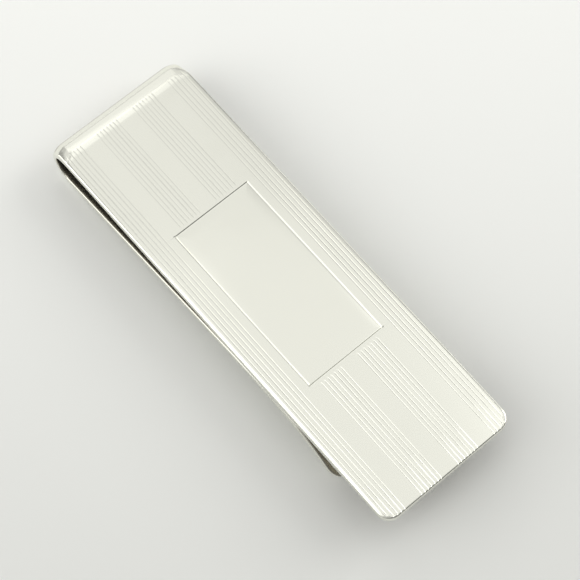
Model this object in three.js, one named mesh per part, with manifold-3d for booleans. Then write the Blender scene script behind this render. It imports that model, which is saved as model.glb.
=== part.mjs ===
// A folded silver money clip: an engraved face leaf, a tight fold and a sprung
// back arm that presses up against the leaf and ends in a flared thumb lip.
// Units are millimetres and +Z is up. X runs along the clip from the fold to
// the free end, Y runs across it. The origin is the middle of the underside,
// so the clip lies on z = 0 on its fold and on the tip of its lip.
// The real clip is one strip. It is divided here where it bends and flexes.

import * as THREE from 'three';
import { mergeVertices } from 'three/addons/utils/BufferGeometryUtils.js';
import Module from 'manifold-3d';

const wasm = await Module();
wasm.setup();

// Strip
const LENGTH = 51.6;
const WIDTH = 15.9;
const THICKNESS = 0.95;
const EDGE_ROUND = 0.2;
const SPLIT_GAP = 0.3;

// Fold: an easy lead-in arc off the flat face, then the tight arc round to the arm
const LEAD_IN_RADIUS = 6;
const LEAD_IN_DEG = 12;
const FOLD_RADIUS = 2.65;

// Back arm: a straight rise, a long crest under the face, then the thumb lip
const ARM_RISE_DEG = 6.8;
const ARM_FLEX_FROM_FOLD = 10;
const CREST_RADIUS = 45;
const CREST_END_DEG = 4;
const CREST_CLEARANCE = 0.12;
const LIP_RADIUS = 12;
const LIP_DEG = 32;

// Rounded corners, seen from above
const FACE_CORNER = 1.5;
const LIP_CORNER = 2;

// Name panel, set level with the face inside a fine outline
const PANEL_LENGTH = 20.2;
const PANEL_WIDTH = 9.1;
const PANEL_CENTRE_X = 0.6;
const PANEL_LINE = 0.15;
const PANEL_SINK = 0.35;
const PANEL_BED = 0.1;
const PANEL_EDGE = 0.04;

// Engraved lines: two bands beside the centre line and one along each long edge
const LINE_WIDTH = 0.2;
const LINE_DEPTH = 0.07;
const INNER_LINES = { count: 7, centre: 2.3, pitch: 0.41 };
const OUTER_LINES = { count: 5, centre: 6.51, pitch: 0.43 };
const LINE_STOP = 0.25;

// Facet sizes, and how far a cutter runs past what it cuts
const ARC_STEP_DEG = 8;
const GENTLE_ARC_STEP_DEG = 4;
const CREST_STEP_DEG = 2;
const CORNER_STEPS = 8;
const ROUND_STEPS = 2;
const MERGE_DISTANCE = 1e-5;
const CUT_MARGIN = 1;

// Silver finishes
const ENGRAVED_SILVER = { color: 0xdcdccf, metalness: 1, roughness: 0.22 };
const PANEL_SILVER = { color: 0xe2e2d6, metalness: 1, roughness: 0.16 };
const PLAIN_SILVER = { color: 0xd9d9ce, metalness: 1, roughness: 0.12 };

// Worked out from the sizes above
const LEAD_IN = THREE.MathUtils.degToRad(LEAD_IN_DEG);
const ARM_RISE = THREE.MathUtils.degToRad(ARM_RISE_DEG);
const CREST_END = THREE.MathUtils.degToRad(CREST_END_DEG);
const LIP_ANGLE = THREE.MathUtils.degToRad(LIP_DEG);
const HALF_THICKNESS = THICKNESS / 2;
const RADIUS_CHANGE = LEAD_IN_RADIUS - FOLD_RADIUS;
const HEIGHT = LEAD_IN_RADIUS + FOLD_RADIUS - RADIUS_CHANGE * Math.cos(LEAD_IN);
const FLAT_LENGTH = LENGTH - FOLD_RADIUS - RADIUS_CHANGE * Math.sin(LEAD_IN);
const FLAT_START_X = LENGTH / 2 - FLAT_LENGTH;

// The middle line of the strip in the XZ plane, from the free end of the face to
// the tip of the lip. Each stretch is a straight run or an arc that turns the
// heading. Left of the heading is the inside of the clip, right is the outside.
class StripPath {
  constructor(x, z, heading) {
    this.stretches = [];
    this.end = { x, z, heading, distance: 0 };
  }

  add(length, turn, step) {
    const start = this.end;
    const stretch = { start, length, turn, step };
    this.stretches.push(stretch);
    this.end = this.along(stretch, length);
    return this.end.distance;
  }

  straight(length) {
    return this.add(length, 0, length);
  }

  arc(radius, turn, stepDeg) {
    const length = radius * Math.abs(turn);
    return this.add(length, turn, radius * THREE.MathUtils.degToRad(stepDeg));
  }

  along(stretch, run) {
    const { x, z, heading, distance } = stretch.start;
    const turned = (stretch.turn * run) / stretch.length;
    const chord = turned === 0 ? run : (2 * run * Math.sin(turned / 2)) / turned;
    const direction = heading + turned / 2;
    return {
      x: x + chord * Math.cos(direction),
      z: z + chord * Math.sin(direction),
      heading: heading + turned,
      distance: distance + run,
    };
  }

  // Points from one distance to another, with one at each change of stretch.
  between(from, to) {
    const points = [];
    for (const stretch of this.stretches) {
      const first = Math.max(from, stretch.start.distance);
      const last = Math.min(to, stretch.start.distance + stretch.length);
      if (last <= first) continue;
      const steps = Math.max(1, Math.round((last - first) / stretch.step));
      const skip = points.length === 0 ? 0 : 1;
      for (let i = skip; i <= steps; i += 1) {
        const run = first + ((last - first) * i) / steps - stretch.start.distance;
        points.push(this.along(stretch, run));
      }
    }
    return points;
  }
}

// A point moved sideways off the middle line: outwards is positive.
function offset(point, outwards) {
  const x = point.x + outwards * Math.sin(point.heading);
  const z = point.z - outwards * Math.cos(point.heading);
  return new THREE.Vector2(x, z);
}

const strip = new StripPath(LENGTH / 2, HEIGHT - HALF_THICKNESS, Math.PI);
const foldStart = strip.straight(FLAT_LENGTH);
strip.arc(LEAD_IN_RADIUS - HALF_THICKNESS, LEAD_IN, GENTLE_ARC_STEP_DEG);
const foldRadius = FOLD_RADIUS - HALF_THICKNESS;
const foldApex = strip.arc(foldRadius, Math.PI / 2 - LEAD_IN, ARC_STEP_DEG);
const armStart = strip.arc(foldRadius, Math.PI / 2 + ARM_RISE, ARC_STEP_DEG);

// The arm rises until its crest just clears the underside of the face.
const crestHeight = HEIGHT - THICKNESS - CREST_CLEARANCE - HALF_THICKNESS;
const crestRise = CREST_RADIUS * (1 - Math.cos(ARM_RISE));
const armLength = (crestHeight - crestRise - strip.end.z) / Math.sin(ARM_RISE);
const armFlex = armStart + ARM_FLEX_FROM_FOLD;
const crestStart = strip.straight(armLength);
const lipStart = strip.arc(CREST_RADIUS, -(ARM_RISE + CREST_END), CREST_STEP_DEG);
strip.arc(LIP_RADIUS, -(LIP_ANGLE - CREST_END), GENTLE_ARC_STEP_DEG);

// The lip runs on until the lower edge of its tip is level with the fold.
const lipDrop = strip.end.z - HALF_THICKNESS * Math.cos(LIP_ANGLE);
const lipEnd = strip.straight(lipDrop / Math.sin(LIP_ANGLE));
const lipEndX = strip.end.x + HALF_THICKNESS * Math.sin(LIP_ANGLE);

function toSolid(geometry) {
  const bare = geometry.clone();
  bare.deleteAttribute('normal');
  bare.deleteAttribute('uv');
  const merged = mergeVertices(bare, MERGE_DISTANCE);
  const vertProperties = new Float32Array(merged.attributes.position.array);
  const triVerts = new Uint32Array(merged.index.array);
  return new wasm.Manifold(new wasm.Mesh({ numProp: 3, vertProperties, triVerts }));
}

function toGeometry(solid) {
  const mesh = solid.getMesh();
  const geometry = new THREE.BufferGeometry();
  geometry.setAttribute('position', new THREE.BufferAttribute(mesh.vertProperties, 3));
  geometry.setIndex(new THREE.BufferAttribute(mesh.triVerts, 1));
  geometry.computeVertexNormals();
  return geometry;
}

// A length of the strip, extruded across the width with softened long edges.
function stripLength(from, to) {
  const points = strip.between(from, to);
  const outside = points.map((point) => offset(point, HALF_THICKNESS));
  const inside = points.map((point) => offset(point, -HALF_THICKNESS));
  const shape = new THREE.Shape([...outside, ...inside.reverse()]);
  const geometry = new THREE.ExtrudeGeometry(shape, {
    depth: WIDTH - 2 * EDGE_ROUND,
    bevelEnabled: true,
    bevelThickness: EDGE_ROUND,
    bevelSize: EDGE_ROUND,
    bevelOffset: -EDGE_ROUND,
    bevelSegments: ROUND_STEPS,
  });
  geometry.rotateX(Math.PI / 2);
  geometry.translate(0, WIDTH / 2 - EDGE_ROUND, 0);
  return geometry;
}

// The part of the strip between two splits, set back by half a gap at each split.
function splitLength(from, to) {
  return stripLength(from + SPLIT_GAP / 2, to - SPLIT_GAP / 2);
}

// An upright block as wide as the clip whose two +X corners are rounded.
function cornerBlock(startX, endX, radius) {
  const half = WIDTH / 2;
  const shape = new THREE.Shape();
  shape.moveTo(startX, -half);
  shape.lineTo(endX - radius, -half);
  shape.absarc(endX - radius, -half + radius, radius, -Math.PI / 2, 0, false);
  shape.lineTo(endX, half - radius);
  shape.absarc(endX - radius, half - radius, radius, 0, Math.PI / 2, false);
  shape.lineTo(startX, half);
  const depth = HEIGHT + 2 * CUT_MARGIN;
  const options = { depth, bevelEnabled: false, curveSegments: CORNER_STEPS };
  const geometry = new THREE.ExtrudeGeometry(shape, options);
  geometry.translate(0, 0, -CUT_MARGIN);
  return geometry;
}

// A long V-shaped cutter that lies along X. It is one line wide at the top of the
// face, and stands as far above the face as the line is deep.
function lineCutter(fromX, toX, y) {
  const shape = new THREE.Shape();
  shape.moveTo(0, -LINE_DEPTH);
  shape.lineTo(LINE_WIDTH, LINE_DEPTH);
  shape.lineTo(-LINE_WIDTH, LINE_DEPTH);
  const geometry = new THREE.ExtrudeGeometry(shape, { depth: toX - fromX, bevelEnabled: false });
  geometry.rotateX(Math.PI / 2);
  geometry.rotateZ(Math.PI / 2);
  geometry.translate(fromX, y, HEIGHT);
  return geometry;
}

// The Y positions of one band of lines on both sides of the centre line.
function bandPositions(band) {
  const positions = [];
  for (let i = 0; i < band.count; i += 1) {
    const y = band.centre + (i - (band.count - 1) / 2) * band.pitch;
    positions.push(y, -y);
  }
  return positions;
}

function engravedLines() {
  const startX = FLAT_START_X - CUT_MARGIN;
  const endX = LENGTH / 2 + CUT_MARGIN;
  const panelGap = PANEL_LENGTH / 2 + PANEL_LINE + LINE_STOP;
  const cutters = [];
  for (const y of bandPositions(OUTER_LINES)) {
    cutters.push(lineCutter(startX, endX, y));
  }
  for (const y of bandPositions(INNER_LINES)) {
    cutters.push(lineCutter(startX, PANEL_CENTRE_X - panelGap, y));
    cutters.push(lineCutter(PANEL_CENTRE_X + panelGap, endX, y));
  }
  return cutters;
}

function panelBed() {
  const length = PANEL_LENGTH + 2 * PANEL_LINE;
  const width = PANEL_WIDTH + 2 * PANEL_LINE;
  const geometry = new THREE.BoxGeometry(length, width, PANEL_SINK + CUT_MARGIN);
  const middle = HEIGHT + (CUT_MARGIN - PANEL_SINK) / 2;
  geometry.translate(PANEL_CENTRE_X, 0, middle);
  return geometry;
}

// The flat leaf: rounded at its free end, bedded for the panel and engraved.
function facePlate() {
  const leaf = toSolid(stripLength(0, foldStart - SPLIT_GAP / 2));
  const corners = toSolid(cornerBlock(-LENGTH, LENGTH / 2, FACE_CORNER));
  let solid = leaf.intersect(corners).subtract(toSolid(panelBed()));
  for (const cutter of engravedLines()) {
    solid = solid.subtract(toSolid(cutter));
  }
  return toGeometry(solid);
}

// The plain tablet for a monogram, its top level with the face.
function namePanel() {
  const halfLength = PANEL_LENGTH / 2;
  const halfWidth = PANEL_WIDTH / 2;
  const shape = new THREE.Shape();
  shape.moveTo(-halfLength, -halfWidth);
  shape.lineTo(halfLength, -halfWidth);
  shape.lineTo(halfLength, halfWidth);
  shape.lineTo(-halfLength, halfWidth);
  const geometry = new THREE.ExtrudeGeometry(shape, {
    depth: PANEL_SINK - PANEL_BED - 2 * PANEL_EDGE,
    bevelEnabled: true,
    bevelThickness: PANEL_EDGE,
    bevelSize: PANEL_EDGE,
    bevelOffset: -PANEL_EDGE,
    bevelSegments: 1,
  });
  geometry.translate(PANEL_CENTRE_X, 0, HEIGHT - PANEL_SINK + PANEL_BED + PANEL_EDGE);
  return geometry;
}

// The flared tip of the arm, with two rounded corners for the thumb.
function thumbLip() {
  const lip = toSolid(stripLength(lipStart + SPLIT_GAP / 2, lipEnd));
  const corners = toSolid(cornerBlock(0, lipEndX, LIP_CORNER));
  return toGeometry(lip.intersect(corners));
}

const clip = new THREE.Group();

function addPiece(name, geometry, finish) {
  const piece = new THREE.Mesh(geometry, new THREE.MeshStandardMaterial(finish));
  piece.name = name;
  clip.add(piece);
}

addPiece('face_plate', facePlate(), ENGRAVED_SILVER);
addPiece('name_panel', namePanel(), PANEL_SILVER);
addPiece('fold_upper', splitLength(foldStart, foldApex), PLAIN_SILVER);
addPiece('fold_lower', splitLength(foldApex, armStart), PLAIN_SILVER);
addPiece('arm_root', splitLength(armStart, armFlex), PLAIN_SILVER);
addPiece('arm_mid', splitLength(armFlex, crestStart), PLAIN_SILVER);
addPiece('grip_crest', splitLength(crestStart, lipStart), PLAIN_SILVER);
addPiece('thumb_lip', thumbLip(), PLAIN_SILVER);

export default clip;
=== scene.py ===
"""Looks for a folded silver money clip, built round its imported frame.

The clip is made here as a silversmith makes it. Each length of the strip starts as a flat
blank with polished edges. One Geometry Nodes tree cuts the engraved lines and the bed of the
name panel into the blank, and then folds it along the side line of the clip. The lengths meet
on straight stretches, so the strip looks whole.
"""

import logging
import math
from dataclasses import dataclass, replace
from enum import Enum

import bmesh
import bpy
import numpy as np
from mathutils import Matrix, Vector


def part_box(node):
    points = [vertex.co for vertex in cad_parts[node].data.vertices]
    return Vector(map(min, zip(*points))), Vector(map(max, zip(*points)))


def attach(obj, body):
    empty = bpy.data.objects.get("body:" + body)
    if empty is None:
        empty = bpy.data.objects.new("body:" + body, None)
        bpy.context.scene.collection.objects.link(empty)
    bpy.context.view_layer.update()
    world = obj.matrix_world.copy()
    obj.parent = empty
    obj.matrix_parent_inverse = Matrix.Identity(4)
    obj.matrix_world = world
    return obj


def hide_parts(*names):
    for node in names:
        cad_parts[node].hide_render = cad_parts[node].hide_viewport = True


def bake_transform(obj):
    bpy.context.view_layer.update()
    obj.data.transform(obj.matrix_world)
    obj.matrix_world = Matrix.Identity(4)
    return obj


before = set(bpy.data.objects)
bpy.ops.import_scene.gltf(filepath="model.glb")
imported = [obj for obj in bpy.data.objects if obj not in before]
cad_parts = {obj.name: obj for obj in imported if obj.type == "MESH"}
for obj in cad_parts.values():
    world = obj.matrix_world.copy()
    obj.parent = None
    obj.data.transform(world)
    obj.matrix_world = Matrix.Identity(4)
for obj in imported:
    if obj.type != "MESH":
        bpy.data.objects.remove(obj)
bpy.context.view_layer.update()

LOG = logging.getLogger("money_clip")
MM = 0.001


# ---------------------------------------------------------------- node graphs


class Wire:
    """A node socket whose Python arithmetic adds Math nodes to its graph."""

    def __init__(self, graph: "Graph", socket: bpy.types.NodeSocket) -> None:
        """Wraps one output socket of a graph."""
        self.graph = graph
        self.socket = socket

    def __add__(self, other: "Wire | float") -> "Wire":
        """Sum."""
        return self.graph.math("ADD", self, other)

    def __radd__(self, other: float) -> "Wire":
        """Sum with a number on the left."""
        return self.graph.math("ADD", other, self)

    def __sub__(self, other: "Wire | float") -> "Wire":
        """Difference."""
        return self.graph.math("SUBTRACT", self, other)

    def __rsub__(self, other: float) -> "Wire":
        """Difference from a number on the left."""
        return self.graph.math("SUBTRACT", other, self)

    def __mul__(self, other: "Wire | float") -> "Wire":
        """Product."""
        return self.graph.math("MULTIPLY", self, other)

    def __rmul__(self, other: float) -> "Wire":
        """Product with a number on the left."""
        return self.graph.math("MULTIPLY", other, self)

    def __truediv__(self, other: "Wire | float") -> "Wire":
        """Quotient."""
        return self.graph.math("DIVIDE", self, other)

    def __abs__(self) -> "Wire":
        """Distance from zero."""
        return self.graph.math("ABSOLUTE", self)

    def rounded(self) -> "Wire":
        """Nearest whole number."""
        return self.graph.math("ROUND", self)

    def sign(self) -> "Wire":
        """Minus one, zero or one."""
        return self.graph.math("SIGN", self)

    def at_least(self, other: "Wire | float") -> "Wire":
        """The larger of the two."""
        return self.graph.math("MAXIMUM", self, other)

    def at_most(self, other: "Wire | float") -> "Wire":
        """The smaller of the two."""
        return self.graph.math("MINIMUM", self, other)

    def step(self, low: "Wire | float", high: "Wire | float") -> "Wire":
        """Eases from 0 at low to 1 at high.

        Args:
            low: The value that gives 0.
            high: The value that gives 1.

        Returns:
            The eased value.
        """
        sockets = {"Value": self, "From Min": low, "From Max": high}
        node = self.graph.add("ShaderNodeMapRange", {"interpolation_type": "SMOOTHSTEP"}, sockets)
        return self.graph.out(node, "Result")


class Graph:
    """A node tree that is built from Python expressions."""

    COLOUR_INPUTS = (6, 7)
    COLOUR_OUTPUT = 2

    def __init__(self, tree: bpy.types.NodeTree) -> None:
        """Takes a new or an emptied tree."""
        self.tree = tree
        tree.nodes.clear()

    def add(
        self,
        kind: str,
        settings: dict[str, object] | None = None,
        sockets: dict[str | int, object] | None = None,
    ) -> bpy.types.Node:
        """Adds one node, sets it up and feeds its sockets.

        Args:
            kind: The node's type name.
            settings: The node's attributes, which are set first.
            sockets: Values, wires or sockets, by the input's name or number.

        Returns:
            The new node.
        """
        node = self.tree.nodes.new(kind)
        for key, value in (settings or {}).items():
            setattr(node, key, value)
        for key, value in (sockets or {}).items():
            self.feed(node.inputs[key], value)
        return node

    def feed(self, target: bpy.types.NodeSocket, value: object) -> None:
        """Links a wire or a socket to an input, or sets the input's own value."""
        if isinstance(value, Wire):
            self.tree.links.new(value.socket, target)
        elif isinstance(value, bpy.types.NodeSocket):
            self.tree.links.new(value, target)
        else:
            target.default_value = value

    def out(self, node: bpy.types.Node, name: str | int = 0) -> Wire:
        """A node's output as a wire."""
        return Wire(self, node.outputs[name])

    def math(self, operation: str, *values: Wire | float) -> Wire:
        """Adds a Math node."""
        node = self.add("ShaderNodeMath", {"operation": operation}, dict(enumerate(values)))
        return self.out(node)

    def parts(self, vector: Wire) -> tuple[Wire, Wire, Wire]:
        """The three parts of a vector."""
        node = self.add("ShaderNodeSeparateXYZ", None, {0: vector})
        return self.out(node, "X"), self.out(node, "Y"), self.out(node, "Z")

    def vector(self, x: Wire | float, y: Wire | float, z: Wire | float) -> Wire:
        """A vector from its three parts."""
        return self.out(self.add("ShaderNodeCombineXYZ", None, {0: x, 1: y, 2: z}))

    def vector_sum(self, first: Wire, second: Wire) -> Wire:
        """Adds two vectors."""
        return self.out(self.add("ShaderNodeVectorMath", {"operation": "ADD"}, {0: first, 1: second}))

    def mix_colour(self, amount: Wire, first: object, second: object) -> Wire:
        """Blends two colours by an amount from 0 to 1."""
        node = self.add("ShaderNodeMix", {"data_type": "RGBA"}, {"Factor": amount})
        for number, colour in zip(self.COLOUR_INPUTS, (first, second)):
            self.feed(node.inputs[number], colour)
        return self.out(node, self.COLOUR_OUTPUT)


# ---------------------------------------------------------------- the side line


@dataclass(frozen=True)
class Station:
    """A point on the side line: its place, its heading and how far along it is."""

    x: float
    z: float
    heading: float
    distance: float


@dataclass(frozen=True)
class Stretch:
    """A straight run or an arc of the side line."""

    start: Station
    length: float
    turn: float

    def at(self, distance: float) -> Station:
        """The station at a distance along the whole line."""
        run = distance - self.start.distance
        turned = self.turn * run / self.length
        chord = run if turned == 0 else 2 * run * math.sin(turned / 2) / turned
        direction = self.start.heading + turned / 2
        x = self.start.x + chord * math.cos(direction)
        z = self.start.z + chord * math.sin(direction)
        return Station(x, z, self.start.heading + turned, distance)


class SideLine:
    """The middle line of the strip, from the free end of the face to the tip of the lip."""

    NO_LENGTH = 1e-9

    def __init__(self, x: float, z: float, heading: float) -> None:
        """Starts the line at a point with a heading."""
        self.end = Station(x, z, heading, 0.0)
        self.stretches: list[Stretch] = []

    def straight(self, length: float) -> float:
        """Adds a straight run and gives the distance at its end."""
        return self._add(length, 0.0)

    def arc(self, radius: float, turn: float) -> float:
        """Adds an arc that turns the heading and gives the distance at its end."""
        return self._add(radius * abs(turn), turn)

    def _add(self, length: float, turn: float) -> float:
        """Adds a stretch and moves the end of the line."""
        stretch = Stretch(self.end, length, turn)
        self.stretches.append(stretch)
        self.end = stretch.at(self.end.distance + length)
        return self.end.distance

    def at(self, distance: float) -> Station:
        """The station at a distance along the line."""
        for stretch in self.stretches:
            if distance <= stretch.start.distance + stretch.length:
                return stretch.at(distance)
        return self.stretches[-1].at(distance)

    def rows(self, start: float, stop: float, degrees: float, spacing: float) -> list[float]:
        """Distances close enough together for a smooth surface.

        Args:
            start: The first distance.
            stop: The last distance.
            degrees: The most that the line may turn between two rows.
            spacing: The longest gap between two rows.

        Returns:
            The distances, with one at each change of stretch.
        """
        found = [start]
        for stretch in self.stretches:
            low = max(start, stretch.start.distance)
            high = min(stop, stretch.start.distance + stretch.length)
            if high - low <= self.NO_LENGTH:
                continue
            turned = math.degrees(abs(stretch.turn)) * (high - low) / stretch.length
            steps = max(1, math.ceil(turned / degrees), math.ceil((high - low) / spacing))
            found += [low + (high - low) * i / steps for i in range(1, steps + 1)]
        return found

    def curve(self, degrees: float, spacing: float) -> bpy.types.Object:
        """The line as a curve object that a node tree can follow."""
        distances = self.rows(0.0, self.end.distance, degrees, spacing)
        data = bpy.data.curves.new("side_line", "CURVE")
        data.dimensions = "3D"
        spline = data.splines.new("POLY")
        spline.points.add(len(distances) - 1)
        for point, distance in zip(spline.points, distances):
            station = self.at(distance)
            point.co = (station.x, 0.0, station.z, 1.0)
        line = bpy.data.objects.new("side_line", data)
        bpy.context.scene.collection.objects.link(line)
        return line


@dataclass(frozen=True)
class ClipShape:
    """The driving sizes of the strip in metres. The outer sizes come from the frame."""

    free_end_x: float
    fold_end_x: float
    width: float
    height: float
    thickness: float
    lead_in_radius: float = 6.0 * MM
    lead_in_turn: float = math.radians(12.0)
    fold_radius: float = 2.65 * MM
    arm_rise: float = math.radians(6.8)
    crest_radius: float = 45.0 * MM
    crest_end: float = math.radians(4.0)
    crest_clearance: float = 0.12 * MM
    lip_radius: float = 12.0 * MM
    lip_angle: float = math.radians(32.0)

    @classmethod
    def from_frame(cls) -> "ClipShape":
        """Reads the outer sizes from the boxes of the frame's nodes."""
        low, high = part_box("face_plate")
        fold_low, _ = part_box("fold_upper")
        return cls(
            free_end_x=high.x,
            fold_end_x=fold_low.x,
            width=high.y - low.y,
            height=high.z,
            thickness=high.z - low.z,
        )

    def side_line(self) -> tuple[SideLine, dict[str, float]]:
        """Draws the side line.

        Returns:
            The line, and the distances along it where its features start.
        """
        half = self.thickness / 2
        narrowing = (self.lead_in_radius - self.fold_radius) * math.sin(self.lead_in_turn)
        flat = self.free_end_x - self.fold_end_x - self.fold_radius - narrowing
        line = SideLine(self.free_end_x, self.height - half, math.pi)
        marks = {"fold": line.straight(flat)}
        marks["tight"] = line.arc(self.lead_in_radius - half, self.lead_in_turn)
        turn = math.pi - self.lead_in_turn + self.arm_rise
        marks["arm"] = line.arc(self.fold_radius - half, turn)
        crest_z = self.height - self.thickness - self.crest_clearance - half
        crest_rise = self.crest_radius * (1 - math.cos(self.arm_rise))
        arm_length = (crest_z - crest_rise - line.end.z) / math.sin(self.arm_rise)
        marks["crest"] = line.straight(arm_length)
        marks["lip"] = line.arc(self.crest_radius, -(self.arm_rise + self.crest_end))
        line.arc(self.lip_radius, self.crest_end - self.lip_angle)
        lip_drop = line.end.z - half * math.cos(self.lip_angle)
        marks["tip"] = line.straight(lip_drop / math.sin(self.lip_angle))
        return line, marks


# ---------------------------------------------------------------- flat blanks


class RoundEnd(Enum):
    """Which end of a blank has rounded corners and a polished edge."""

    NONE = "none"
    FIRST = "first"
    LAST = "last"


@dataclass(frozen=True)
class EdgeProfile:
    """The polished edge of the strip: a soft roll, a small corner, a wall and a back corner."""

    inset: float = 0.44 * MM
    roll_drop: float = 0.034 * MM
    corner: float = 0.20 * MM
    back_corner: float = 0.18 * MM
    roll_steps: int = 5
    corner_steps: int = 5
    wall_steps: int = 2

    def ring(self, thickness: float) -> list[tuple[float, float, float, float]]:
        """The points of the edge from the outer face round to the inner face.

        Args:
            thickness: The thickness of the strip.

        Returns:
            For each point: how far it stands outside the inset line, its height from the
            middle of the strip, how far it faces outwards, from 0 to 1, and how much higher
            it stands where the edge has no roll.
        """
        half = thickness / 2
        slope = math.atan(2 * self.roll_drop / (self.inset - self.corner))
        roll_end = self.inset - self.corner * (1 - math.sin(slope))
        points = []
        for i in range(1, self.roll_steps + 1):
            part = i / self.roll_steps
            sunk = self.roll_drop * part**2
            points.append((roll_end * part, half - sunk, 1.0, sunk))
        middle = half - self.roll_drop - self.corner * math.cos(slope)
        for i in range(1, self.corner_steps + 1):
            angle = slope + (math.pi / 2 - slope) * i / self.corner_steps
            out = self.inset - self.corner * (1 - math.sin(angle))
            facing = math.cos(angle)
            points.append((out, middle + self.corner * facing, facing, self.roll_drop * facing))
        wall_end = -half + self.back_corner
        for i in range(1, self.wall_steps + 1):
            points.append((self.inset, middle + (wall_end - middle) * i / self.wall_steps, 0.0, 0.0))
        for i in range(1, self.corner_steps + 1):
            angle = math.pi / 2 * i / self.corner_steps
            out = self.inset - self.back_corner * (1 - math.cos(angle))
            points.append((out, wall_end - self.back_corner * math.sin(angle), 0.0, 0.0))
        return points


class BlankMesh:
    """A flat, closed length of strip: X is the distance along it, Z the height from its middle."""

    DRAWN_ZONE = 2.4

    def __init__(self, rows: list[float], columns: list[float], width: float, thickness: float) -> None:
        """Keeps the grid and the size of the blank.

        Args:
            rows: Distances along the strip, in order.
            columns: Places across the strip, in order, inside the edge profile.
            width: The full width of the strip.
            thickness: The thickness of the strip.
        """
        self.rows = rows
        self.columns = columns
        self.width = width
        self.thickness = thickness
        self.points: list[tuple[float, float, float]] = []
        self.outward: list[float] = []
        self.faces: list[list[int]] = []

    def build(self, name: str, edge: EdgeProfile, end: RoundEnd, corner: float) -> bpy.types.Object:
        """Makes the blank as a mesh object with an "outward" attribute.

        Args:
            name: The object's name.
            edge: The edge profile.
            end: Which end is rounded.
            corner: The corner radius of the rounded end, seen from above.

        Returns:
            The new object.
        """
        rows = self.rows if end is not RoundEnd.FIRST else [-r for r in reversed(self.rows)]
        rounded = end is not RoundEnd.NONE
        plan = [self._row_plan(rows, i, rounded, edge, corner) for i in range(len(rows))]
        top = self._add_grid(plan, self.thickness / 2, 1.0)
        bottom = self._add_grid(plan, -self.thickness / 2, 0.0)
        self._fill_grid(top, False)
        self._fill_grid(bottom, True)
        rim = self._rim(rows[-1], rounded, corner, plan)
        loops = [self._border(top, rounded)]
        for out, height, facing, sunk in edge.ring(self.thickness):
            loops.append(
                [self._add(x + dx * out, y + dy * out, height + sunk * dx**2, facing) for x, y, dx, dy in rim]
            )
        loops.append(self._border(bottom, rounded))
        self._skin(loops, len(rows), rounded, top, bottom)
        if end is RoundEnd.FIRST:
            self.points = [(-x, y, z) for x, y, z in self.points]
        return self._object(name)

    def _row_plan(
        self, rows: list[float], index: int, rounded: bool, edge: EdgeProfile, corner: float
    ) -> list[tuple[float, float]]:
        """Where one row's points lie, drawn in towards the rounded end."""
        if not rounded:
            return [(rows[index], y) for y in self.columns]
        last = rows[-1]
        zone = min(self.DRAWN_ZONE * corner, last - rows[0])
        share = max(0.0, (rows[index] - (last - zone)) / zone)
        return [(rows[index] - share * (last - self._reach(y, last, edge, corner)), y) for y in self.columns]

    def _reach(self, y: float, last: float, edge: EdgeProfile, corner: float) -> float:
        """How far along the strip the inset outline reaches at a place across it."""
        past = abs(y) - (self.width / 2 - corner)
        if past <= 0:
            return last - edge.inset
        inner = corner - edge.inset
        return last - corner + math.sqrt(max(0.0, inner**2 - past**2))

    def _rim(
        self, last: float, rounded: bool, corner: float, plan: list[list[tuple[float, float]]]
    ) -> list[tuple[float, float, float, float]]:
        """The border's points in order, each with the direction that points out of the blank."""
        rim = [(x, y, 0.0, -1.0) for x, y in (row[0] for row in plan)]
        if rounded:
            rim += [(x, y, *self._away(x, y, last, corner)) for x, y in plan[-1][1:-1]]
        rim += [(x, y, 0.0, 1.0) for x, y in (row[-1] for row in reversed(plan))]
        return rim

    def _away(self, x: float, y: float, last: float, corner: float) -> tuple[float, float]:
        """The direction out of the rounded end at a point of its outline."""
        past = abs(y) - (self.width / 2 - corner)
        if past <= 0:
            return 1.0, 0.0
        along = x - (last - corner)
        size = math.hypot(along, past)
        return along / size, math.copysign(past / size, y)

    def _add(self, x: float, y: float, z: float, facing: float) -> int:
        """Adds a point and gives its number."""
        self.points.append((x, y, z))
        self.outward.append(facing)
        return len(self.points) - 1

    def _add_grid(self, plan: list[list[tuple[float, float]]], z: float, facing: float) -> list[list[int]]:
        """Adds the points of the outer or the inner face."""
        return [[self._add(x, y, z, facing) for x, y in row] for row in plan]

    def _fill_grid(self, grid: list[list[int]], flip: bool) -> None:
        """Adds the faces of a grid."""
        for near, far in zip(grid, grid[1:]):
            for j in range(len(near) - 1):
                face = [near[j], far[j], far[j + 1], near[j + 1]]
                self.faces.append(face[::-1] if flip else face)

    @staticmethod
    def _border(grid: list[list[int]], rounded: bool) -> list[int]:
        """The grid's border in the rim's order."""
        across = grid[-1][1:-1] if rounded else []
        return [row[0] for row in grid] + across + [row[-1] for row in reversed(grid)]

    def _skin(
        self, loops: list[list[int]], count: int, rounded: bool, top: list[list[int]], bottom: list[list[int]]
    ) -> None:
        """Adds the edge faces between the loops and closes each plain end."""
        gap = None if rounded else count - 1
        for upper, lower in zip(loops, loops[1:]):
            for i in range(len(upper) - 1):
                if i != gap:
                    self.faces.append([upper[i], lower[i], lower[i + 1], upper[i + 1]])
        self._cap(top[0], bottom[0], [loop[0] for loop in loops], [loop[-1] for loop in loops], False)
        if not rounded:
            left = [loop[count - 1] for loop in loops]
            right = [loop[count] for loop in loops]
            self._cap(top[-1], bottom[-1], left, right, True)

    def _cap(self, top: list[int], bottom: list[int], left: list[int], right: list[int], flip: bool) -> None:
        """Closes a plain end with one face."""
        face = top + right[1:-1] + bottom[::-1] + left[-2:0:-1]
        self.faces.append(face if not flip else face[::-1])

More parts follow.
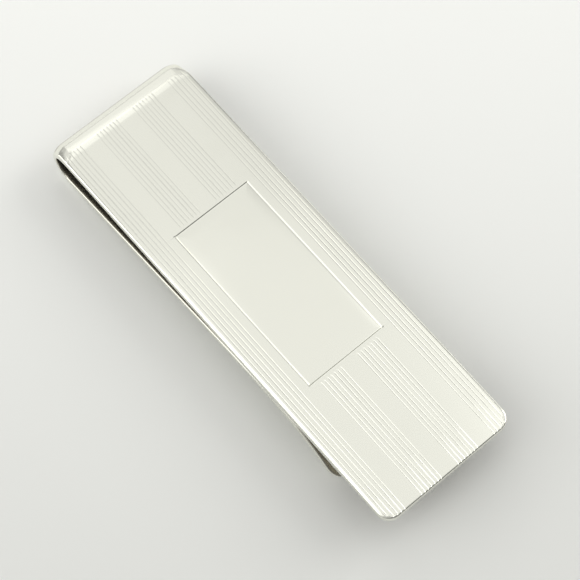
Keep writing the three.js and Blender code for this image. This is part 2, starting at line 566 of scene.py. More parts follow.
    def _object(self, name: str) -> bpy.types.Object:
        """The mesh object, shaded smooth."""
        mesh = bpy.data.meshes.new(name)
        mesh.from_pydata(self.points, [], self.faces)
        mesh.attributes.new("outward", "FLOAT", "POINT").data.foreach_set("value", self.outward)
        mesh.polygons.foreach_set("use_smooth", [True] * len(mesh.polygons))
        blank = bpy.data.objects.new(name, mesh)
        bpy.context.scene.collection.objects.link(blank)
        return blank


# ---------------------------------------------------------------- engraving and folding


@dataclass(frozen=True)
class LineBand:
    """A band of parallel engraved lines, cut on both sides of the centre line."""

    count: int
    centre: float
    pitch: float

    def places(self) -> list[float]:
        """The distance of each line from the centre line."""
        return [self.centre + (i - (self.count - 1) / 2) * self.pitch for i in range(self.count)]


@dataclass(frozen=True)
class Engraving:
    """The lines and the panel bed that are cut into the face.

    POINTS are the places across one line where the face has points, in half widths.

    Attributes:
        inner: The band on each side of the centre line.
        outer: The band along each long edge.
        width: The width of a line.
        depth: The depth of a line.
        stop: How far from the panel's outline the inner lines stop.
        lift: The length over which they rise out there.
        run_past_fold: How far the lines run into the bend.
        end_gain: How much deeper the lines are at the free end, as a share.
        end_gain_length: The length over which they deepen.
        fold_loss: How much shallower they are at the fold, as a share.
        outline: The width of the gap round the panel.
        bed_depth: The depth of the bed under the panel.
        overshoot: How far the two short cuts run past the outline's corners.
        wall: The width of the bed's sloping wall.
        guard: How far outside a cut the face is flat again.
    """

    POINTS = (-1.4, -1.0, -0.66, -0.33, 0.0, 0.33, 0.66, 1.0, 1.4)
    WALL_STEPS = 5

    inner: LineBand = LineBand(7, 2.30 * MM, 0.41 * MM)
    outer: LineBand = LineBand(5, 6.51 * MM, 0.43 * MM)
    width: float = 0.135 * MM
    depth: float = 0.0175 * MM
    stop: float = 0.22 * MM
    lift: float = 0.30 * MM
    run_past_fold: float = 0.95 * MM
    end_gain: float = 0.85
    end_gain_length: float = 5.0 * MM
    fold_loss: float = 0.45
    outline: float = 0.16 * MM
    bed_depth: float = 0.08 * MM
    overshoot: float = 0.20 * MM
    wall: float = 0.20 * MM
    guard: float = 0.03 * MM

    def columns(self) -> list[float]:
        """The places across the strip that the lines' shape needs."""
        lines = self.inner.places() + self.outer.places()
        return [sign * (y + o * self.width / 2) for y in lines for o in self.POINTS for sign in (-1, 1)]

    def bed_edge(self, edge: float) -> list[float]:
        """The places that the bed's wall needs, from the bed's floor to just outside its edge."""
        wall = [edge - self.wall * i / self.WALL_STEPS for i in range(self.WALL_STEPS + 1)]
        return [*wall, edge + self.guard]


@dataclass(frozen=True)
class PanelPlace:
    """Where the name panel lies: its middle along the strip and its half sizes."""

    middle: float
    half_length: float
    half_width: float


class StripFormer:
    """The Geometry Nodes tree that engraves a flat blank and folds it along the side line.

    The lines fade over the last part of their run past the fold, after FADE_SHARE of it. They
    get shallower between LOSS_SHARES of the way to the fold. Each is between LEAST_CUT and
    LEAST_CUT + CUT_RANGE times the nominal depth. The bend of the outer edges begins BEND_LEAD
    into the tight fold, ends over BEND_TRAIL, and reaches from BEND_INSIDE inside the edge to
    BEND_OUTSIDE past it.
    """

    SEED = 7
    SIDE_SEED = 20.0
    LEAST_CUT = 0.82
    CUT_RANGE = 0.36
    TICK_SHARE = 0.7
    FADE_SHARE = 0.8
    LOSS_SHARES = (0.45, 0.95)
    BEND_LEAD = 0.5 * MM
    BEND_TRAIL = 3.4 * MM
    BEND_INSIDE = 1.3 * MM
    BEND_OUTSIDE = 0.5 * MM

    def __init__(self, engraving: Engraving, panel: PanelPlace, marks: dict[str, float]) -> None:
        """Builds the tree.

        Args:
            engraving: The sizes of the lines.
            panel: Where the name panel lies.
            marks: The distances of the fold's start and end along the strip.
        """
        self.tree = bpy.data.node_groups.new("strip_former", "GeometryNodeTree")
        self.graph = Graph(self.tree)
        self.defaults: dict[str, float] = {
            "Line Width": engraving.width,
            "Line Depth": engraving.depth,
            "Inner Centre": engraving.inner.centre,
            "Inner Pitch": engraving.inner.pitch,
            "Inner Reach": (engraving.inner.count - 1) / 2,
            "Outer Centre": engraving.outer.centre,
            "Outer Pitch": engraving.outer.pitch,
            "Outer Reach": (engraving.outer.count - 1) / 2,
            "Stop": engraving.stop,
            "Lift": engraving.lift,
            "Run Past Fold": engraving.run_past_fold,
            "End Gain": engraving.end_gain,
            "End Gain Length": engraving.end_gain_length,
            "Fold Loss": engraving.fold_loss,
            "Outline": engraving.outline,
            "Bed Depth": engraving.bed_depth,
            "Overshoot": engraving.overshoot,
            "Wall": engraving.wall,
            "Panel Middle": panel.middle,
            "Panel Half Length": panel.half_length,
            "Panel Half Width": panel.half_width,
            "Fold Start": marks["fold"],
            "Tight Start": marks["tight"],
            "Fold End": marks["arm"],
            "Edge Draw": 0.0,
            "Edge Fall": 0.0,
            "Half Width": 0.0,
            "Half Thickness": 0.0,
        }
        self.inputs: dict[str, Wire] = {}
        self._interface()
        self._nodes()

    def _interface(self) -> None:
        sockets = self.tree.interface
        sockets.new_socket("Geometry", in_out="INPUT", socket_type="NodeSocketGeometry")
        sockets.new_socket("Side Line", in_out="INPUT", socket_type="NodeSocketObject")
        sockets.new_socket("Finish", in_out="INPUT", socket_type="NodeSocketMaterial")
        for name, value in self.defaults.items():
            socket = sockets.new_socket(name, in_out="INPUT", socket_type="NodeSocketFloat")
            socket.default_value = value
        sockets.new_socket("Geometry", in_out="OUTPUT", socket_type="NodeSocketGeometry")
        source = self.graph.add("NodeGroupInput")
        self.inputs = {socket.name: Wire(self.graph, socket) for socket in source.outputs if socket.name}

    def _band(self, across: Wire, band: str) -> Wire:
        """The depth of one band's nearest line at a place across the strip, from 0 to 1."""
        reach = self.inputs[f"{band} Reach"]
        pitch = self.inputs[f"{band} Pitch"]
        centre = self.inputs[f"{band} Centre"]
        number = ((abs(across) - centre) / pitch).rounded()
        number = number.at_most(reach).at_least(reach * -1.0)
        away = abs(abs(across) - centre - number * pitch)
        groove = 1.0 - away.step(0.0, self.inputs["Line Width"] / 2.0)
        seed = self.graph.vector(number + across.sign() * self.SIDE_SEED, reach, float(self.SEED))
        noise = self.graph.add("ShaderNodeTexWhiteNoise", {"noise_dimensions": "3D"}, {"Vector": seed})
        return groove * (self.LEAST_CUT + self.CUT_RANGE * self.graph.out(noise, "Value"))

    def _lines(self, along: Wire, across: Wire) -> Wire:
        """How deep the engraved lines are, from 0 to 1."""
        fold = self.inputs["Fold Start"]
        run = self.inputs["Run Past Fold"]
        fade = 1.0 - along.step(fold + run * self.FADE_SHARE, fold + run)
        swell = 1.0 + self.inputs["End Gain"] * (1.0 - along.step(0.0, self.inputs["End Gain Length"]))
        first, last = self.LOSS_SHARES
        swell = swell - self.inputs["Fold Loss"] * along.step(fold * first, fold * last)
        from_panel = abs(along - self.inputs["Panel Middle"]) - self.inputs["Panel Half Length"]
        stop = self.inputs["Outline"] + self.inputs["Stop"]
        clear = from_panel.step(stop, stop + self.inputs["Lift"])
        return (self._band(across, "Inner") * clear + self._band(across, "Outer")) * fade * swell

    def _bed(self, along: Wire, across: Wire) -> Wire:
        """The bed that the name panel lies in, from 0 to 1."""
        wall = self.inputs["Wall"]
        length = self.inputs["Panel Half Length"] + self.inputs["Outline"]
        width = self.inputs["Panel Half Width"] + self.inputs["Outline"]
        inside_x = 1.0 - abs(along - self.inputs["Panel Middle"]).step(length - wall, length)
        inside_y = 1.0 - abs(across).step(width - wall, width)
        return inside_x * inside_y

    def _ticks(self, along: Wire, across: Wire) -> Wire:
        """The two short cuts where the graver ran past a corner of the outline."""
        line = self.inputs["Outline"]
        edge = self.inputs["Panel Half Width"] + line
        total: Wire | None = None
        for side in (-1.0, 1.0):
            place = self.inputs["Panel Middle"] - side * (self.inputs["Panel Half Length"] + line / 2.0)
            cut = 1.0 - abs(along - place).step(0.0, line / 2.0)
            past = across * side
            reach = past.step(edge - line, edge) * (1.0 - past.step(edge, edge + self.inputs["Overshoot"]))
            total = cut * reach if total is None else total + cut * reach
        return total

    def _bend_edge(self, along: Wire, across: Wire, height: Wire) -> Wire:
        """How much the stretched outer side is bent near its edges, from 0 to 1."""
        tight = along.step(self.inputs["Fold Start"], self.inputs["Tight Start"] + self.BEND_LEAD)
        easing = 1.0 - along.step(self.inputs["Fold End"] - self.BEND_TRAIL, self.inputs["Fold End"])
        outer = (height / self.inputs["Half Thickness"] + 1.0) * 0.5
        half = self.inputs["Half Width"]
        edge = abs(across).step(half - self.BEND_INSIDE, half + self.BEND_OUTSIDE)
        return tight * easing * outer * edge

    def _nodes(self) -> None:
        """Adds the nodes."""
        graph = self.graph
        along, across, height = graph.parts(graph.out(graph.add("GeometryNodeInputPosition")))
        facing = graph.add("GeometryNodeInputNamedAttribute", {"data_type": "FLOAT"}, {"Name": "outward"})
        outward = graph.out(facing, "Attribute")
        cut = self._lines(along, across) * self.inputs["Line Depth"]
        cut = cut + self._bed(along, across) * self.inputs["Bed Depth"]
        cut = cut + self._ticks(along, across) * (self.inputs["Bed Depth"] * self.TICK_SHARE)
        bent = self._bend_edge(along, across, height)
        level = height - cut * outward - bent * self.inputs["Edge Fall"]
        side = across - bent * self.inputs["Edge Draw"] * across.sign()
        info = graph.add(
            "GeometryNodeObjectInfo", {"transform_space": "ORIGINAL"}, {"Object": self.inputs["Side Line"]}
        )
        sample = graph.add(
            "GeometryNodeSampleCurve",
            {"mode": "LENGTH", "data_type": "FLOAT"},
            {"Curves": graph.out(info, "Geometry"), "Length": along},
        )
        tangent_x, _, tangent_z = graph.parts(graph.out(sample, "Tangent"))
        offset = graph.vector(tangent_z * level, side, tangent_x * level * -1.0)
        place = graph.vector_sum(graph.out(sample, "Position"), offset)
        store = graph.add(
            "GeometryNodeStoreNamedAttribute",
            {"data_type": "FLOAT_VECTOR", "domain": "POINT"},
            {
                "Geometry": self.inputs["Geometry"],
                "Name": "strip",
                "Value": graph.vector(along, across, level),
            },
        )
        move = graph.add("GeometryNodeSetPosition", None, {"Geometry": graph.out(store), "Position": place})
        real = graph.add("GeometryNodeRealizeInstances", None, {"Geometry": graph.out(move)})
        dress = graph.add(
            "GeometryNodeSetMaterial", None, {"Geometry": graph.out(real), "Material": self.inputs["Finish"]}
        )
        graph.add("NodeGroupOutput", None, {"Geometry": graph.out(dress)})

    def form(
        self, blank: bpy.types.Object, line: bpy.types.Object, finish: bpy.types.Material, **sizes: float
    ) -> bpy.types.Object:
        """Engraves and folds a blank and leaves it a plain mesh.

        Args:
            blank: The flat blank.
            line: The side line's curve object.
            finish: The material to give it.
            sizes: Inputs that differ from the tree's defaults, with _ for a space.

        Returns:
            The same object with its new mesh.
        """
        modifier = blank.modifiers.new("former", "NODES")
        modifier.node_group = self.tree
        values: dict[str, object] = dict(self.defaults)
        values.update({name.replace("_", " "): value for name, value in sizes.items()})
        values["Side Line"] = line
        values["Finish"] = finish
        for item in self.tree.interface.items_tree:
            if item.item_type == "SOCKET" and item.in_out == "INPUT" and item.name in values:
                modifier[item.identifier] = values[item.name]
        depsgraph = bpy.context.evaluated_depsgraph_get()
        mesh = bpy.data.meshes.new_from_object(blank.evaluated_get(depsgraph), depsgraph=depsgraph)
        flat = blank.data
        blank.modifiers.remove(modifier)
        blank.data = mesh
        bpy.data.meshes.remove(flat)
        mesh.name = blank.name
        close_mesh(mesh)
        return blank


def close_mesh(mesh: bpy.types.Mesh, sharp: float = math.radians(32.0)) -> None:
    """Turns every face outwards and keeps the edges sharper than an angle crisp."""
    work = bmesh.new()
    work.from_mesh(mesh)
    bmesh.ops.recalc_face_normals(work, faces=work.faces)
    if work.calc_volume(signed=True) < 0:
        bmesh.ops.reverse_faces(work, faces=work.faces)
    work.to_mesh(mesh)
    work.free()
    mesh.set_sharp_from_angle(angle=sharp)


# ---------------------------------------------------------------- finishes


@dataclass(frozen=True)
class SilverFinish:
    """Polished silver: its tone, its polish, random haze and hairlines, and painted shade on its inner side
    and on the outer side of a bend.

    INNER and OUTER are the heights from the strip's middle over which its inner and its outer side begin.
    BEND_EASE is how gently the painted shade on a bend starts and ends.

    Attributes:
        name: The material's name.
        tone: The colour of the clean metal.
        shade_tone: The colour of the painted shade.
        polish: The roughness of the clean metal.
        hairlines: How strong the fine hairlines along the strip are.
        inner_shade: How strongly the inner side of the strip, between its leaves, is darkened with painted
            shade and made rougher.
        bend: Where the outer side of a bend is darkened with a painted dark reflection of the shaded table,
            as two distances along the strip.
    """

    INNER = (-0.47 * MM, -0.40 * MM)
    OUTER = (0.1 * MM, 0.3 * MM)
    BEND_EASE = (0.4 * MM, 0.6 * MM)
    BEND_SHADE = (0.7, 0.3)
    HAIR_ALONG = 60.0
    HAIR_ACROSS = 9000.0
    HAIR_DEPTH = 0.002 * MM
    HAZE_SCALE = 260.0
    HAZE_EDGES = (0.5, 0.8)
    HAZE_WEAR = 0.02
    UNEVEN = 0.04
    DULL_ROUGHNESS = 0.12

    name: str
    tone: tuple[float, float, float]
    shade_tone: tuple[float, float, float]
    polish: float
    hairlines: float
    inner_shade: float
    bend: tuple[float, float] | None = None

    def material(self) -> bpy.types.Material:
        """Builds the node material."""
        made = bpy.data.materials.new(self.name)
        made.use_nodes = True
        graph = Graph(made.node_tree)
        strip = graph.out(graph.add("ShaderNodeAttribute", {"attribute_name": "strip"}), "Vector")
        along, across, level = graph.parts(strip)
        brushed = graph.vector(along * self.HAIR_ALONG, across * self.HAIR_ACROSS, level * self.HAIR_ACROSS)
        hairs = graph.add("ShaderNodeTexNoise", None, {"Vector": brushed, "Scale": 1.0, "Detail": 3.0})
        hair = graph.out(hairs, "Fac")
        clouds = {"Vector": strip, "Scale": self.HAZE_SCALE, "Detail": 4.0}
        cloud = graph.add("ShaderNodeTexNoise", None, clouds)
        haze = graph.out(cloud, "Fac")
        # Painted shade: the inner side of the strip, between its leaves, is darkened towards the shade
        # colour.
        inner = 1.0 - level.step(*self.INNER)
        wear_and_shade = inner * self.inner_shade + haze.step(*self.HAZE_EDGES) * self.HAZE_WEAR
        # Painted shade: a dark reflection of the shaded table is painted on the outer side of the bend,
        # broken up by the haze noise.
        if self.bend:
            first, last = self.bend
            fade_in, fade_out = self.BEND_EASE
            edge = along.step(first, first + fade_in) * (1.0 - along.step(last - fade_out, last))
            least, more = self.BEND_SHADE
            wear_and_shade = wear_and_shade + edge * level.step(*self.OUTER) * (least + more * haze)
        wear_and_shade = wear_and_shade.at_most(1.0)
        colour = graph.mix_colour(wear_and_shade, (*self.tone, 1.0), (*self.shade_tone, 1.0))
        rough = self.polish + (haze - 0.5) * self.UNEVEN + (hair - 0.5) * self.UNEVEN
        rough = rough + inner * (self.DULL_ROUGHNESS * self.inner_shade)
        bump = graph.add(
            "ShaderNodeBump", None, {"Strength": self.hairlines, "Distance": self.HAIR_DEPTH, "Height": hair}
        )
        shader = graph.add(
            "ShaderNodeBsdfPrincipled",
            None,
            {"Base Color": colour, "Metallic": 1.0, "Roughness": rough, "Normal": graph.out(bump)},
        )
        graph.add("ShaderNodeOutputMaterial", None, {"Surface": graph.out(shader)})
        return made


# ---------------------------------------------------------------- the pieces


@dataclass
class StripPiece:
    """One length of the strip.

    Attributes:
        name: The piece's name.
        start: Where it starts along the strip.
        stop: Where it stops.
        nodes: The frame's nodes that it stands for.
        slot: The record's material slot.
        engraved: Whether its outer face carries the engraved lines.
        end: Which of its ends is rounded.
        corner: The corner radius of that end.
        extra_rows: Rows that its own details need.
        turn_step: The most that the side line may turn between two rows, in degrees.
        row_spacing: The longest gap between two rows.
        column_spacing: The widest gap between two columns of a plain piece.
    """

    CORNER_TURN = 7.5
    CORNER_STEPS = 12

    name: str
    start: float
    stop: float
    nodes: tuple[str, ...]
    slot: str
    engraved: bool = False
    end: RoundEnd = RoundEnd.NONE
    corner: float = 0.0
    extra_rows: tuple[float, ...] = ()
    turn_step: float = 1.5
    row_spacing: float = 0.8 * MM
    column_spacing: float = 0.7 * MM

    def columns(
        self, shape: ClipShape, edge: EdgeProfile, engraving: Engraving, panel: PanelPlace
    ) -> list[float]:
        """The places across the strip where the piece has points."""
        reach = shape.width / 2 - edge.inset
        count = math.ceil(2 * reach / self.column_spacing)
        places = [reach * (2 * i / count - 1) for i in range(count + 1)]
        if self.engraved:
            places = [-reach, 0.0, reach] + engraving.columns()
            side = panel.half_width + engraving.outline
            steps = engraving.bed_edge(side)
            steps += [side + engraving.overshoot * 0.5, side + engraving.overshoot]
            places += [sign * y for y in steps for sign in (-1, 1)]
        if self.end is not RoundEnd.NONE:
            inner = self.corner - edge.inset
            turns = [math.radians(self.CORNER_TURN * i) for i in range(self.CORNER_STEPS)]
            corner = [reach - inner * (1 - math.sin(turn)) for turn in turns]
            places += [sign * y for y in corner for sign in (-1, 1)]
        return thinned(places, reach)

    def build(self, clip: "MoneyClip", finish: bpy.types.Material) -> bpy.types.Object:
        """Makes the piece.

        Args:
            clip: The clip that it belongs to.
            finish: The material of its finish.

        Returns:
            The piece's object.
        """
        rows = clip.line.rows(self.start, self.stop, self.turn_step, self.row_spacing)
        rows = sorted(set(rows) | {row for row in self.extra_rows if self.start < row < self.stop})
        columns = self.columns(clip.shape, clip.edge, clip.engraving, clip.panel)
        blank = BlankMesh(rows, columns, clip.shape.width, clip.shape.thickness)
        piece = blank.build(self.name, clip.edge, self.end, self.corner)
        clip.former.form(
            piece,
            clip.curve,
            finish,
            Line_Depth=clip.engraving.depth if self.engraved else 0.0,
            Bed_Depth=clip.engraving.bed_depth if self.engraved else 0.0,
            Edge_Draw=clip.edge_draw,
            Edge_Fall=clip.edge_fall,
            Half_Width=clip.shape.width / 2,
            Half_Thickness=clip.shape.thickness / 2,
        )
        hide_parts(*self.nodes)
        return piece


def thinned(places: list[float], reach: float, nearest: float = 0.012 * MM) -> list[float]:
    """Sorted places no further out than a reach, without near doubles."""
    kept = [-reach]
    for place in sorted(places):
        if kept[-1] + nearest < place < reach - nearest:
            kept.append(place)
    return [*kept, reach]


@dataclass
class NamePanel:
    """The plain tablet in the middle of the face, softly crowned towards its edges."""

    name: str = "monogram_panel"
    roll: float = 1.15 * MM
    roll_drop: float = 0.022 * MM
    edge: float = 0.025 * MM
    corner: float = 0.08 * MM
    least_corner: float = 0.002 * MM
    foot: float = 0.01 * MM
    roll_steps: int = 8
    edge_steps: int = 4
    corner_steps: int = 4
    side_steps: int = 12

    def profile(self, top: float, bottom: float) -> list[tuple[float, float]]:
        """The edge's points, each an inset and a height, from the foot up to the crown."""
        slope = math.atan(2 * self.roll_drop / self.roll)
        points = [(0.0, bottom)]
        corner_z = top - self.roll_drop - self.edge * math.cos(slope)
        for i in range(self.edge_steps + 1):
            angle = math.pi / 2 - (math.pi / 2 - slope) * i / self.edge_steps
            points.append((self.edge * (1 - math.sin(angle)), corner_z + self.edge * math.cos(angle)))
        first = points[-1][0]
        for i in range(1, self.roll_steps + 1):
            part = i / self.roll_steps
            points.append((first + (self.roll - first) * part, top - self.roll_drop * (1 - part) ** 2))
        return points

    def outline(self, half_length: float, half_width: float, inset: float) -> list[tuple[float, float]]:
        """A rectangle with tiny round corners, drawn in by an inset."""
        radius = max(self.corner - inset, self.least_corner)
        length, width = half_length - inset - radius, half_width - inset - radius
        corners = [(length, width, 0), (-length, width, 90), (-length, -width, 180), (length, -width, 270)]
        points = []
        for number, (x, y, start) in enumerate(corners):
            for i in range(self.corner_steps + 1):
                angle = math.radians(start + 90 * i / self.corner_steps)
                points.append((x + radius * math.cos(angle), y + radius * math.sin(angle)))
            after_x, after_y, _ = corners[(number + 1) % len(corners)]
            ahead = math.radians(start + 90)
            goal = (after_x + radius * math.cos(ahead), after_y + radius * math.sin(ahead))
            last = points[-1]
            for i in range(1, self.side_steps):
                part = i / self.side_steps
                points.append((last[0] + (goal[0] - last[0]) * part, last[1] + (goal[1] - last[1]) * part))
        return points

    def build(self, clip: "MoneyClip", finish: bpy.types.Material) -> bpy.types.Object:
        """Makes the panel on its bed.

        Args:
            clip: The clip that it belongs to.
            finish: The material of its finish.

        Returns:
            The panel's object.
        """
        low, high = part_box("name_panel")
        middle = (low + high) / 2
        bottom = clip.shape.height - clip.engraving.bed_depth - self.foot
        vertices: list[tuple[float, float, float]] = []
        strip: list[tuple[float, float, float]] = []
        loops = []
        for inset, z in self.profile(high.z, bottom):
            loop = []
            for x, y in self.outline((high.x - low.x) / 2, (high.y - low.y) / 2, inset):
                loop.append(len(vertices))
                vertices.append((middle.x + x, y, z))
                strip.append((clip.shape.free_end_x - middle.x - x, y, clip.shape.thickness / 2))
            loops.append(loop)
        faces = [loops[0][::-1], loops[-1]]
        for lower, upper in zip(loops, loops[1:]):
            for i in range(len(lower)):
                j = (i + 1) % len(lower)
                faces.append([lower[i], lower[j], upper[j], upper[i]])
        mesh = bpy.data.meshes.new(self.name)
        mesh.from_pydata(vertices, [], faces)
        mesh.attributes.new("strip", "FLOAT_VECTOR", "POINT").data.foreach_set("vector", np.ravel(strip))
        mesh.polygons.foreach_set("use_smooth", [True] * len(mesh.polygons))
        mesh.materials.append(finish)
        close_mesh(mesh)
        piece = bpy.data.objects.new(self.name, mesh)
        bpy.context.scene.collection.objects.link(piece)
        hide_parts("name_panel")
        return piece


class MoneyClip:
    """The whole clip: its side line, its engraving and its six visible pieces.

    FOLD_BLEND gives two heights, in thicknesses below the fold's top and above its foot. ARM_BLEND
    is a length on each side of the arm's joint. Nothing bends the fold or the arm by them.
    """

    SEAM_BEFORE_FOLD = 2.6 * MM
    SEAM_AFTER_FOLD = 3.0 * MM
    SEAM_BEFORE_CREST = 0.6 * MM
    FACE_CORNER = 1.5 * MM
    LIP_CORNER = 2.0 * MM
    # Painted shade: the next span is the outer side of the fold that gets a painted dark reflection of the
    # shaded table.
    BEND_SHADE_SPAN = (1.35 * MM, 5.0 * MM)
    TONE = (0.88, 0.88, 0.805)
    # Painted shade: the colour that darkens the inner side of the strip and the outer side of the fold.
    SHADE_TONE = (0.36, 0.33, 0.27)
    LIFT_SHARES = (0.0, 0.33, 0.67, 1.0)
    END_SPACING = 0.3 * MM
    END_ROWS = 7
    RUN_ROWS = 6
    FOLD_BLEND = (1.5, 1.6)
    ARM_BLEND = 5.0 * MM

    def __init__(self) -> None:
        """Works out the shape from the frame."""
        self.shape = ClipShape.from_frame()
        self.edge = EdgeProfile()
        self.engraving = Engraving()
        self.edge_draw = 0.12 * MM
        self.edge_fall = 0.38 * MM
        self.line, self.marks = self.shape.side_line()
        low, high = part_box("name_panel")
        middle = self.shape.free_end_x - (low.x + high.x) / 2
        self.panel = PanelPlace(middle, (high.x - low.x) / 2, (high.y - low.y) / 2)
        self.former = StripFormer(self.engraving, self.panel, self.marks)
        self.curve = self.line.curve(degrees=0.5, spacing=0.5 * MM)

    def panel_rows(self) -> tuple[float, ...]:
        """Rows that the bed, the ticks and the ends of the inner lines need."""
        cut = self.engraving
        edge = self.panel.half_length + cut.outline
        stops = [edge + cut.stop + cut.lift * share for share in self.LIFT_SHARES]
        steps = cut.bed_edge(edge) + stops
        return tuple(self.panel.middle + sign * step for step in steps for sign in (-1, 1))

    def end_rows(self, end: float, onward: int) -> tuple[float, ...]:
        """Rows close to a rounded end, from it onward (1) or back (-1) along the strip."""
        return tuple(end + onward * self.END_SPACING * i for i in range(1, self.END_ROWS + 1))

    def pieces(self) -> list[StripPiece]:
        """The lengths of strip that the clip is made of."""
        marks = self.marks
        face_seam = marks["fold"] - self.SEAM_BEFORE_FOLD
        arm_seam = marks["arm"] + self.SEAM_AFTER_FOLD
        crest_seam = marks["crest"] - self.SEAM_BEFORE_CREST
        run = self.engraving.run_past_fold
        past_fold = tuple(marks["fold"] + run * i / self.RUN_ROWS for i in range(1, self.RUN_ROWS + 1))
        return [
            StripPiece(
                "engraved_face", 0.0, face_seam, ("face_plate",), "engraved_silver", engraved=True,
                end=RoundEnd.FIRST, corner=self.FACE_CORNER,
                extra_rows=self.panel_rows() + self.end_rows(0.0, 1),
            ),
            StripPiece(
                "fold", face_seam, arm_seam, ("fold_upper", "fold_lower"), "plain_silver", engraved=True,
                extra_rows=past_fold,
            ),
            StripPiece("back_arm", arm_seam, crest_seam, ("arm_root", "arm_mid"), "plain_silver"),
            StripPiece(
                "grip_crest", crest_seam, marks["lip"], ("grip_crest",), "plain_silver", turn_step=0.5
            ),
            StripPiece(
                "thumb_lip", marks["lip"], marks["tip"], ("thumb_lip",), "plain_silver",
                end=RoundEnd.LAST, corner=self.LIP_CORNER,
                extra_rows=self.end_rows(marks["tip"], -1), turn_step=0.5,
            ),
        ]

    def build(self) -> None:
        """Makes every piece, dresses it, and joins the face, the panel, the crest and the lip to the frame's
        bodies.
        """
        # The face and the plain strip get painted shade on their inner side; the panel gets none.
        face = SilverFinish(
            "engraved_silver", self.TONE, self.SHADE_TONE, polish=0.14, hairlines=0.15, inner_shade=0.75
        )
        tight = self.marks["tight"]
        # The plain strip's bend gets painted shade between these two distances.
        bend = (tight + self.BEND_SHADE_SPAN[0], tight + self.BEND_SHADE_SPAN[1])
        plain = replace(face, name="plain_silver", bend=bend)
        tablet = replace(face, name="panel_silver", polish=0.13, hairlines=0.12, inner_shade=0.0)
        materials = {finish.name: finish.material() for finish in (face, plain)}
        made: dict[str, bpy.types.Object] = {}
        for piece in self.pieces():
            made[piece.name] = piece.build(self, materials[piece.slot])
            report(made[piece.name])
        panel = NamePanel().build(self, tablet.material())
        report(panel)
        self.join(made, panel)
        line_data = self.curve.data
        bpy.data.objects.remove(self.curve)
        bpy.data.curves.remove(line_data)

    def join(self, made: dict[str, bpy.types.Object], panel: bpy.types.Object) -> None:
        """Rides the face, the panel, the crest and the lip on their bodies, and bakes the placing of the fold
        and the arm into their meshes.
        """
        for piece, body in ((made["engraved_face"], "face_leaf"), (panel, "face_leaf")):
            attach(piece, body)
        for name in ("grip_crest", "thumb_lip"):
            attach(made[name], "arm_far")
        below, above = self.FOLD_BLEND
        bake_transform(made["fold"])
        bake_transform(made["back_arm"])


def report(piece: bpy.types.Object) -> None:
    """Logs a finished piece and its size."""
    piece.data.calc_loop_triangles()
    LOG.info("%s: %d triangles", piece.name, len(piece.data.loop_triangles))


# ---------------------------------------------------------------- the studio


@dataclass(frozen=True)
class SoftBox:
    """A square, soft light that looks at the clip.

    Attributes:
        name: The light's name.
        azimuth: Where it stands, in degrees from +X towards +Y.
        elevation: How high it stands, in degrees.
        distance: How far it is from the clip.
        size: The length of its sides.
        glow: The brightness of its face.
    """

    name: str
    azimuth: float
    elevation: float
    distance: float
    size: float
    glow: float

    def build(self, target: Vector, tint: tuple[float, float, float]) -> None:
        """Adds the light, turned to face a point and hidden from the camera."""
        data = bpy.data.lights.new(self.name, "AREA")
        data.shape = "SQUARE"
        data.size = self.size
        data.energy = self.glow * math.pi * self.size**2
        data.color = tint
        around, up = math.radians(self.azimuth), math.radians(self.elevation)
        level = math.cos(up)
        place = Vector((level * math.cos(around), level * math.sin(around), math.sin(up))) * self.distance
        lamp = bpy.data.objects.new(self.name, data)
        lamp.location = place
        lamp.rotation_mode = "QUATERNION"
        lamp.rotation_quaternion = (target - place).to_track_quat("-Z", "Y")
        lamp.visible_camera = False
        bpy.context.scene.collection.objects.link(lamp)


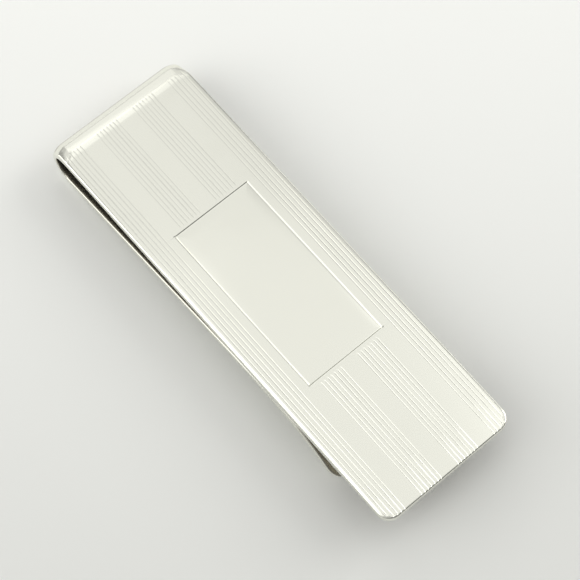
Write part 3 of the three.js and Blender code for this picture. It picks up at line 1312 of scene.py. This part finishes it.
@dataclass(frozen=True)
class Studio:
    """The floor, the lights and the camera."""

    target: tuple[float, float, float] = (2.04 * MM, 0.35 * MM, 5.37 * MM)
    back: tuple[float, float, float] = (0.2781, -0.2364, 0.9310)
    distance: float = 189.6 * MM
    lens: float = 121.03
    nearest: float = 0.01
    floor_size: float = 3.0
    # Painted light: the table's two colours are the ends of a painted light falloff across it.
    floor_shaded: tuple[float, float, float] = (0.79, 0.795, 0.775)
    floor_lit: tuple[float, float, float] = (0.98, 0.985, 0.965)
    floor_light_reach: float = 70.0 * MM
    floor_roughness: float = 0.6
    tint: tuple[float, float, float] = (1.0, 1.0, 0.975)
    air_strength: float = 0.21
    boxes: tuple[SoftBox, ...] = (
        SoftBox("ceiling", 0, 88, 0.40, 0.32, 0.23),
        SoftBox("over_face", 140, 66, 0.45, 0.34, 0.49),
        SoftBox("key", 235, 76, 0.45, 0.16, 0.85),
        SoftBox("near_high", 252, 44, 0.42, 0.32, 1.00),
        SoftBox("near_low", 230, 16, 0.42, 0.40, 1.45),
        SoftBox("far_low", 92, 12, 0.42, 0.30, 0.95),
        SoftBox("far_side", 72, 34, 0.40, 0.24, 2.60),
        SoftBox("far_high", 70, 54, 0.40, 0.32, 0.35),
        SoftBox("back_low", 150, 20, 0.40, 0.40, 0.36),
        SoftBox("fold_low", 180, 18, 0.40, 0.36, 0.16),
        SoftBox("fold_high", 195, 50, 0.40, 0.36, 0.20),
        SoftBox("fold_close", 170, 30, 0.20, 0.18, 0.23),
        SoftBox("front_high", 285, 42, 0.40, 0.34, 0.40),
    )

    def build(self) -> None:
        """Makes everything that the clip is seen with."""
        self.floor()
        self.camera()
        self.lights()
        scene = bpy.context.scene
        scene.view_settings.view_transform = "Standard"
        scene.view_settings.look = "None"

    def floor(self) -> None:
        """The pale table, with a painted light falloff: lighter towards -X +Y and darker towards +X -Y. The
        clip lies on its arm, so the table stays under the arm as it opens.
        """
        bpy.ops.mesh.primitive_plane_add(size=self.floor_size)
        table = bpy.context.object
        table.name = "table"
        made = bpy.data.materials.new("table")
        made.use_nodes = True
        graph = Graph(made.node_tree)
        x, y, _ = graph.parts(graph.out(graph.add("ShaderNodeTexCoord"), "Object"))
        # Painted light: the table is lighter towards -X +Y and darker towards +X -Y.
        away = (y - x).step(-self.floor_light_reach, self.floor_light_reach)
        tone = graph.mix_colour(away, (*self.floor_shaded, 1.0), (*self.floor_lit, 1.0))
        sockets = {"Base Color": tone, "Roughness": self.floor_roughness}
        shader = graph.add("ShaderNodeBsdfPrincipled", None, sockets)
        graph.add("ShaderNodeOutputMaterial", None, {"Surface": graph.out(shader)})
        table.data.materials.append(made)
        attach(table, "arm_far")

    def camera(self) -> None:
        """The camera, close above one corner of the clip."""
        data = bpy.data.cameras.new("camera")
        data.lens = self.lens
        data.clip_start = self.nearest
        camera = bpy.data.objects.new("camera", data)
        back = Vector(self.back).normalized()
        camera.location = Vector(self.target) + back * self.distance
        camera.rotation_mode = "QUATERNION"
        camera.rotation_quaternion = (-back).to_track_quat("-Z", "Y")
        bpy.context.scene.collection.objects.link(camera)
        bpy.context.scene.camera = camera

    def lights(self) -> None:
        """Soft boxes in a pale room."""
        for box in self.boxes:
            box.build(Vector((0, 0, 0)), self.tint)
        world = bpy.data.worlds.new("room")
        bpy.context.scene.world = world
        world.use_nodes = True
        graph = Graph(world.node_tree)
        air = {"Color": (*self.tint, 1.0), "Strength": self.air_strength}
        sky = graph.add("ShaderNodeBackground", None, air)
        graph.add("ShaderNodeOutputWorld", None, {"Surface": graph.out(sky)})


def main() -> None:
    """Builds the studio and the clip."""
    logging.basicConfig(level=logging.INFO, format="%(name)s: %(message)s")
    Studio().build()
    MoneyClip().build()


if __name__ == "__main__":
    main()
